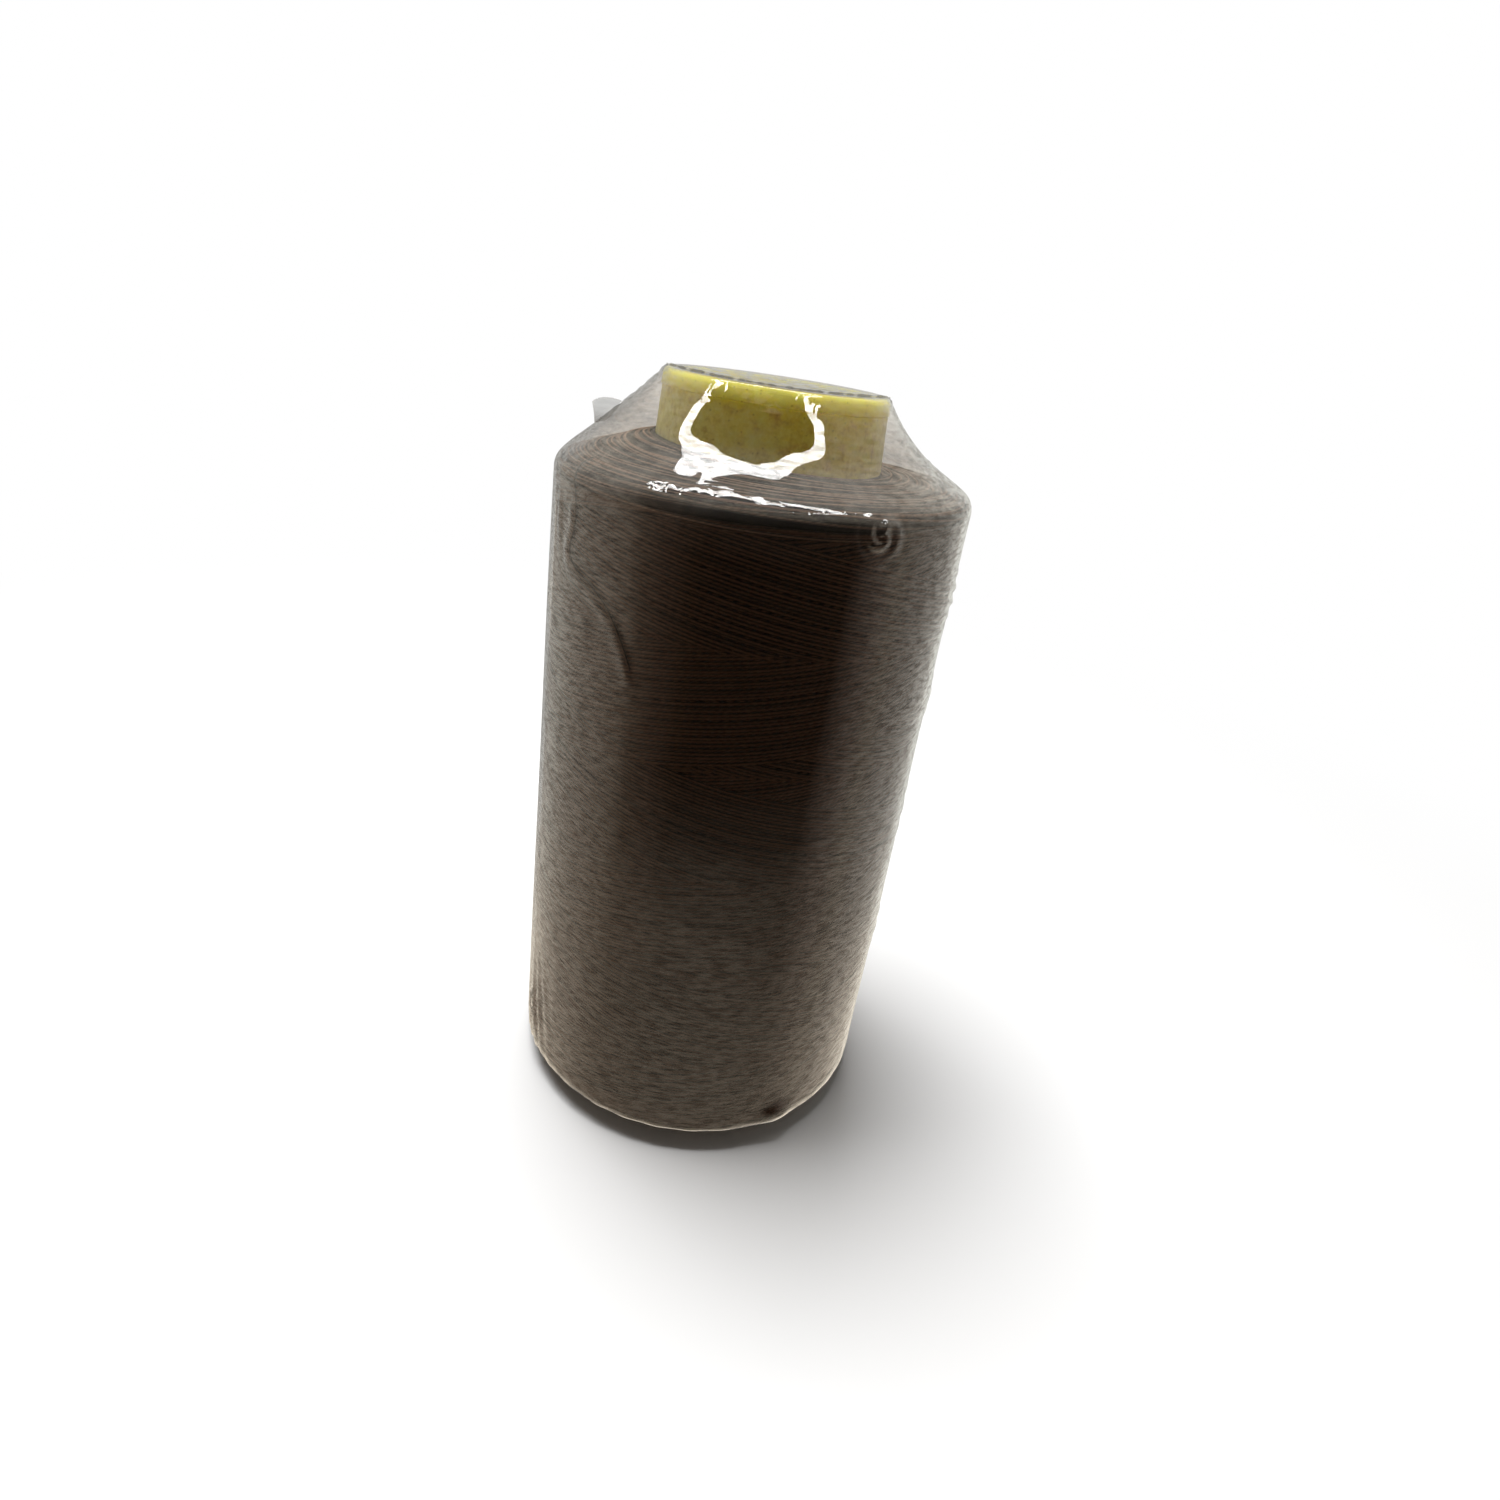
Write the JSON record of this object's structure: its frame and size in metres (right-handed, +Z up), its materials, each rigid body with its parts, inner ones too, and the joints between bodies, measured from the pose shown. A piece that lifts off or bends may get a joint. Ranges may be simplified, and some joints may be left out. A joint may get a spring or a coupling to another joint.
{
  "type": "thread spool",
  "caption": "Cross-wound spool of sewing thread on a tapered plastic tube, sealed in a clear shrink-film bag.",
  "frame": {"origin": "on the axis, at the underside of the film under the tube's foot", "axes": "+Z up the spool's axis to the mouth, +X towards the side seal of the film bag, -Y towards the front"},
  "size_m": [0.0662, 0.0656, 0.1259],
  "materials": {
    "tube": "moulded polypropylene, satin",
    "thread": "twisted polyester thread, matt",
    "film": "clear shrink film, glossy"
  },
  "bodies": {
    "root": {"core_tube": "tube", "winding_core": "thread", "outer_turns": "thread", "transfer_tail": "thread", "loose_end": "thread", "shrink_film": "film", "top_seal_seam": "film", "side_seal_seam": "film", "seal_ear": "film"}
  },
  "joints": []
}
